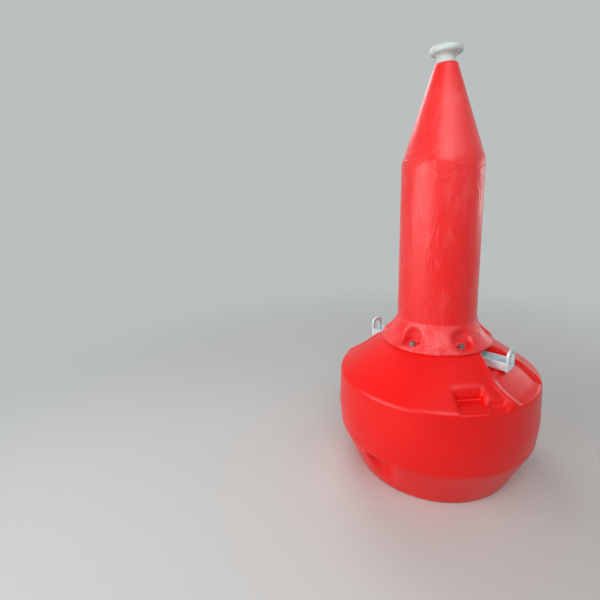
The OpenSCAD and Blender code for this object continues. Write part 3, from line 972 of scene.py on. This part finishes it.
def weld_bead():
    """Fillet weld round the outside of the channel: a rippled bead carried along a U path.

    Its section is an ellipse, whose size swells and sinks with sines of the length along it.
    """
    half, top = bar_high[1], bar_high[2] - BAR_Z
    path = rounded([(half, top, 0), (half, 0, BAR_BEND), (-half, 0, BAR_BEND), (-half, top, 0)])
    length = lengths(path)
    at = np.linspace(0, length[-1], 320)
    spots = read_off(at, length, path)
    along = np.gradient(spots, axis=0)
    along /= np.linalg.norm(along, axis=1)[:, None]
    out = np.stack([-along[:, 1], along[:, 0]], axis=1)
    out *= np.sign((out * spots).sum(axis=1) + 1e-9)[:, None]
    ripple = WELD_RIPPLE * np.abs(np.sin(at * math.pi / WELD_RIPPLE_PITCH))
    swell = (WELD_R + ripple + WELD_SWAY * np.sin(at * WELD_SWAY_RATE))[:, None]
    turn = full_turn(12)
    rise = swell * WELD_FLATNESS * np.sin(turn)
    rings = np.stack([-swell * WELD_REACH * np.cos(turn), spots[:, :1] + out[:, :1] * rise,
                      spots[:, 1:] + out[:, 1:] * rise], axis=-1)
    return skin(rings, capped=True)


def both_ends(part):
    """A part made at the +X end, and its copy turned half a turn."""
    at_end = placed(part, 0, (BAR_HALF_LEN, 0, BAR_Z))
    return joined([at_end, placed(at_end, math.pi)])


# Lamp base


def lamp_hole_field(p):
    """Signed distance to the three tapped holes in the lamp base's top."""
    well = np.hypot(*from_nearest(p, LAMP_HOLE_COUNT, LAMP_CIRCLE_R)) - LAMP_HOLE_R
    return np.maximum(well, DISC_TOP_Z - LAMP_HOLE_H - p[:, 2])


def lamp_base_body():
    """Turned lamp base: foot, neck, fillet under the disc, rounded side and flat top.

    Rows and columns stand closer together at the holes.
    """
    under, cap_r = DISC_TOP_Z - DISC_T, 5
    line = rounded([(cap_r, TIP_Z, 0), (NECK_R, TIP_Z, NECK_FOOT_BEND), (NECK_R, under, NECK_FILLET),
                    (DISC_R, under, DISC_BEND), (DISC_R, DISC_TOP_Z, DISC_BEND),
                    (cap_r, DISC_TOP_Z, 0)], 12)
    holes = (LAMP_CIRCLE_R - 6, LAMP_CIRCLE_R + 6)
    profile, side = stations(line, row_gap(2.0, (holes, (DISC_TOP_Z - 0.2, math.inf), 0.7)))
    sector = TURN / LAMP_HOLE_COUNT

    def crowd(angle):
        near = np.abs((angle + sector / 2) % sector - sector / 2) < math.radians(7)
        return np.radians(np.where(near, 0.9, 3.0))

    angles = spaced(0, TURN, crowd)[:-1]
    rings = carve(turned(profile, angles), turned(side, angles), lamp_hole_field, LAMP_HOLE_EDGE)
    return skin(rings, capped=True)


# Parts below


def mooring_eye():
    """Forged ring with rounded edges, its shank, the collar and the rod above it."""
    angles = full_turn(96)
    half = RING_T / 2
    section = rounded([(RING_HOLE_R, 0, 0), (RING_HOLE_R, -half, RING_HOLE_BEND),
                       (RING_R, -half, RING_BEND), (RING_R, half, RING_BEND),
                       (RING_HOLE_R, half, RING_HOLE_BEND), (RING_HOLE_R, 0, 0)], 6)[:-1]
    flat = turned(section, angles)
    ring = np.stack([flat[..., 0], -flat[..., 2], flat[..., 1] + RING_Z], axis=-1)
    top, cap_r = rod_high[2], 3
    rod = rounded([(cap_r, SHANK_Z, 0), (ROD_R, SHANK_Z, 0), (SHANK_FOOT_R, COLLAR_LOW, SHANK_BEND),
                   (COLLAR_R, COLLAR_LOW, COLLAR_LOW_BEND),
                   (COLLAR_R, COLLAR_HIGH, COLLAR_HIGH_BEND), (ROD_R, COLLAR_HIGH, 0),
                   (ROD_R, top, ROD_END_BEND), (cap_r, top, 0)], 5)
    return joined([skin(ring, closed=True), skin(turned(rod, angles), capped=True)])


def ballast():
    """Turned ballast disc with eased edges and the rod's hole."""
    low, high, r = ballast_low[2], ballast_high[2], ballast_high[0]
    line = rounded([(BORE_R, high, 0), (BORE_R, low, BALLAST_BORE_BEND), (r, low, BALLAST_LOW_BEND),
                    (r, high, BALLAST_HIGH_BEND), (BORE_R, high, 0)], 6)
    profile, _ = stations(line, row_gap(6.0))
    return skin(turned(profile[:-1], full_turn(144)), closed=True)


red = float_polyethylene()
wrapped_red = tower_polyethylene()
zinc = galvanised_steel()
white = lamp_nylon()
black = bitumen_iron()
shaded_bolt_zinc = shaded_bolt_steel()

piece("float_body", float_body(), red, ["float"])
piece("tower_body", tower_body(), wrapped_red, ["tower"])
piece("tower_bolt_heads", tower_bolt_set(), shaded_bolt_zinc, ["tower_bolts"])
piece("crossbar_channel", channel(), zinc, ["crossbar"])
piece("eye_plates", both_ends(end_plate()), zinc, ["lifting_eyes"])
piece("eye_welds", both_ends(weld_bead()), zinc)
piece("lamp_base_body", lamp_base_body(), white, ["lamp_base"])
piece("mooring_eye", mooring_eye(), zinc, ["mooring_rod"])
piece("ballast_body", ballast(), black, ["ballast_disc"])
for name in ("rod_washer", "rod_nut"):
    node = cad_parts[name]
    node.data.materials.clear()
    node.data.materials.append(zinc)


# Floor, light and camera


BACKDROP = "bbbfbf"
FLOOR = "cdcecc"
FLOOR_HALF = 40
FADE_START = 0.7
FADE_END = 3.6
# Strength of the world as light, where what is seen of it has a strength of 1
WORLD_LIGHT = 0.35
# Each lamp's place, the height on the buoy's axis that it points to, its size and its watts
LAMPS = {
    "front_left": ((-1.2, -3.2, 1.5), 0.7, (3.6, 1.6), 74),
    "high_front": ((1.5, -1.9, 3.1), 0.7, (1.8, 1.8), 40),
    "back_left": ((-2.1, 1.3, 3.1), 0.7, (1.8, 1.8), 33),
    "right": ((2.4, -0.5, 3.1), 0.7, (1.8, 1.8), 15),
    "back_right": ((1.1, 3.2, 1.3), 0.6, (1.0, 0.9), 9),
}


def stage():
    """A pale floor that fades into the backdrop's colour away from the buoy."""
    mesh = bpy.data.meshes.new("floor")
    corners = [(-1, -1), (1, -1), (1, 1), (-1, 1)]
    mesh.from_pydata([(x * FLOOR_HALF, y * FLOOR_HALF, 0) for x, y in corners], [], [(0, 1, 2, 3)])
    floor = bpy.data.objects.new("floor", mesh)
    bpy.context.scene.collection.objects.link(floor)
    f, place = start_finish("pale_floor")
    mesh.materials.append(f.surface({"Base Color": linear(FLOOR), "Roughness": 0.7}))
    away = f.add("VectorMath", "Value", [place], operation="LENGTH")
    far = f.add("MapRange", 0, [away, FADE_START, FADE_END, 0, 1], interpolation_type="SMOOTHSTEP")
    share = f.add("Math", 0, [far, seen_rays(f)], operation="MULTIPLY")
    glow = f.add("Emission", 0, {"Color": linear(BACKDROP), "Strength": 1})
    blend = f.add("MixShader", 0, [share, f.tree.nodes["Principled BSDF"].outputs[0], glow])
    f.set(f.tree.nodes["Material Output"], {"Surface": blend})


def lamp(name, place, aim_z, size, watts):
    """Rectangular lamp at a place, turned to a point on the buoy's axis."""
    data = bpy.data.lights.new(name, "AREA")
    data.shape = "RECTANGLE"
    data.size, data.size_y = size
    data.energy = watts
    made = bpy.data.objects.new(name, data)
    bpy.context.scene.collection.objects.link(made)
    made.location = place
    z = np.array(place, float) - np.array([0, 0, aim_z])
    z /= np.linalg.norm(z)
    x = np.cross((0, 0, 1), z)
    x /= np.linalg.norm(x)
    made.rotation_mode = "QUATERNION"
    made.rotation_quaternion = Matrix(np.array([x, np.cross(z, x), z]).T.tolist()).to_quaternion()


def light():
    """Even studio light: a world that looks like the backdrop, and five soft lamps."""
    world = bpy.data.worlds.new("studio")
    bpy.context.scene.world = world
    w = Nodes(world)
    strength = w.add("MapRange", 0, [seen_rays(w), 0, 1, WORLD_LIGHT, 1])
    w.set(w.tree.nodes["Background"], {"Color": linear(BACKDROP), "Strength": strength})
    for name, settings in LAMPS.items():
        lamp(name, *settings)


def camera():
    """The photograph's camera: a wide lens close in, at 1.3 m, turned off the buoy's axis.

    It stands away from the axis at a bearing, and looks along a heading, pitched down and
    rolled by small angles in radians.
    """
    away, height, bearing = 1.788, 1.297, math.radians(-62.1)
    heading, pitch, roll = math.radians(138.16), 0.2733, -0.0585
    data = bpy.data.cameras.new("camera")
    data.sensor_width = 36
    data.lens = 23.16
    data.clip_end = 100
    made = bpy.data.objects.new("camera", data)
    bpy.context.scene.collection.objects.link(made)
    level = np.array([math.cos(heading), math.sin(heading), 0])
    side = np.array([math.sin(heading), -math.cos(heading), 0])
    ahead = level * math.cos(pitch) - np.array([0, 0, math.sin(pitch)])
    above = level * math.sin(pitch) + np.array([0, 0, math.cos(pitch)])
    right = math.cos(roll) * side + math.sin(roll) * above
    up = -math.sin(roll) * side + math.cos(roll) * above
    matrix = Matrix(np.array([right, up, -ahead]).T.tolist()).to_4x4()
    matrix.translation = (away * math.cos(bearing), away * math.sin(bearing), height)
    made.matrix_world = matrix
    bpy.context.scene.camera = made


stage()
light()
camera()
bpy.context.scene.view_settings.view_transform = "Standard"
